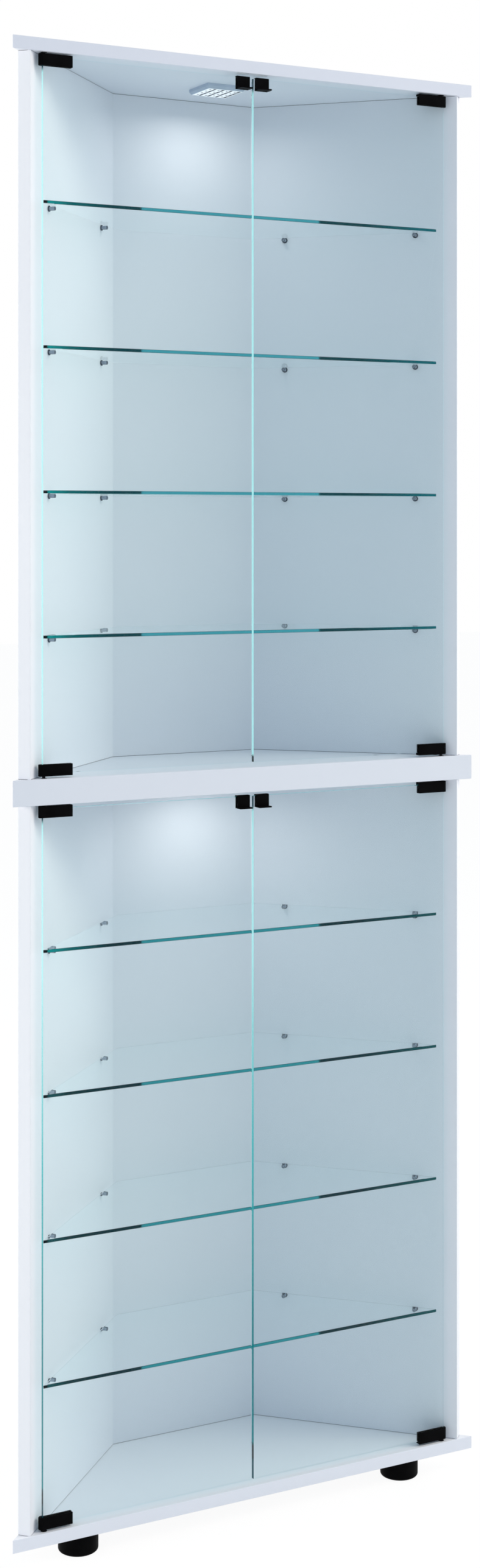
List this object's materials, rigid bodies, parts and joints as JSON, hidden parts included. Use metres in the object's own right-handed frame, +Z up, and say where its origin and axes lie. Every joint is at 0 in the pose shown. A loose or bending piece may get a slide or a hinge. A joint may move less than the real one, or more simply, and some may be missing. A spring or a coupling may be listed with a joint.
{
  "type": "corner curio cabinet",
  "caption": "Tall white corner display cabinet with cut-off back corner, two lit storeys of glass shelves behind frameless glass pivot doors, on round feet.",
  "frame": {"origin": "middle of the overall box at floor level, under the feet", "axes": "+Z up, -Y out of the front doors, +X to the right when facing the doors"},
  "size_m": [0.6614, 0.2232, 1.857],
  "materials": {
    "white_board": "white melamine-faced board with matching edge band",
    "clear_glass": "clear tempered glass with polished green edges",
    "black_steel": "black powder coat",
    "black_liner": "soft black liner",
    "black_screw": "black oxide",
    "zinc_steel": "zinc plated",
    "magnet_steel": "nickel plated magnet",
    "black_nylon": "black moulded plastic",
    "pin_plastic": "smoky clear plastic",
    "lamp_shell": "grey moulded plastic",
    "lamp_lens": "white opal diffuser, lit from behind",
    "lamp_board": "white circuit board with light-emitting diodes",
    "beech": "fluted beech dowel"
  },
  "bodies": {
    "cabinet": {"base_panel": "white_board", "middle_panel": "white_board", "top_panel": "white_board", "lower_left_side_panel": "white_board", "lower_right_side_panel": "white_board", "lower_back_panel": "white_board", "upper_left_side_panel": "white_board", "upper_right_side_panel": "white_board", "upper_back_panel": "white_board", "lower_shelf_1": "clear_glass", "lower_shelf_2": "clear_glass", "lower_shelf_3": "clear_glass", "lower_shelf_4": "clear_glass", "lower_shelf_pins": "pin_plastic", "upper_shelf_1": "clear_glass", "upper_shelf_2": "clear_glass", "upper_shelf_3": "clear_glass", "upper_shelf_4": "clear_glass", "upper_shelf_pins": "pin_plastic", "hinge_bushings": "black_nylon", "door_magnets": "magnet_steel", "lower_lamp_housing": "lamp_shell", "lower_lamp_diffuser": "lamp_lens", "lower_lamp_board": "lamp_board", "upper_lamp_housing": "lamp_shell", "upper_lamp_diffuser": "lamp_lens", "upper_lamp_board": "lamp_board", "feet": "black_nylon", "foot_screws": "zinc_steel", "cam_bolts": "zinc_steel", "cam_locks": "zinc_steel", "wood_dowels": "beech"},
    "upper_left_door": {"upper_left_door_glass": "clear_glass", "upper_left_door_pull": "black_steel", "upper_left_hinge_bodies": "black_steel", "upper_left_hinge_liners": "black_liner", "upper_left_hinge_screws": "black_screw", "upper_left_hinge_pins": "zinc_steel"},
    "upper_right_door": {"upper_right_door_glass": "clear_glass", "upper_right_door_pull": "black_steel", "upper_right_hinge_bodies": "black_steel", "upper_right_hinge_liners": "black_liner", "upper_right_hinge_screws": "black_screw", "upper_right_hinge_pins": "zinc_steel"},
    "lower_left_door": {"lower_left_door_glass": "clear_glass", "lower_left_door_pull": "black_steel", "lower_left_hinge_bodies": "black_steel", "lower_left_hinge_liners": "black_liner", "lower_left_hinge_screws": "black_screw", "lower_left_hinge_pins": "zinc_steel"},
    "lower_right_door": {"lower_right_door_glass": "clear_glass", "lower_right_door_pull": "black_steel", "lower_right_hinge_bodies": "black_steel", "lower_right_hinge_liners": "black_liner", "lower_right_hinge_screws": "black_screw", "lower_right_hinge_pins": "zinc_steel"}
  },
  "joints": [
    {"name": "upper_left_door_hinge", "type": "hinge", "parent": "cabinet", "child": "upper_left_door", "pos_m": [-0.28697, -0.0984, 1.399], "axis": [0, 0, -1], "range_deg": [0, 110]},
    {"name": "upper_right_door_hinge", "type": "hinge", "parent": "cabinet", "child": "upper_right_door", "pos_m": [0.28697, -0.0984, 1.399], "axis": [0, 0, 1], "range_deg": [0, 110]},
    {"name": "lower_left_door_hinge", "type": "hinge", "parent": "cabinet", "child": "lower_left_door", "pos_m": [-0.28697, -0.0984, 0.483], "axis": [0, 0, -1], "range_deg": [0, 110]},
    {"name": "lower_right_door_hinge", "type": "hinge", "parent": "cabinet", "child": "lower_right_door", "pos_m": [0.28697, -0.0984, 0.483], "axis": [0, 0, 1], "range_deg": [0, 110]}
  ]
}
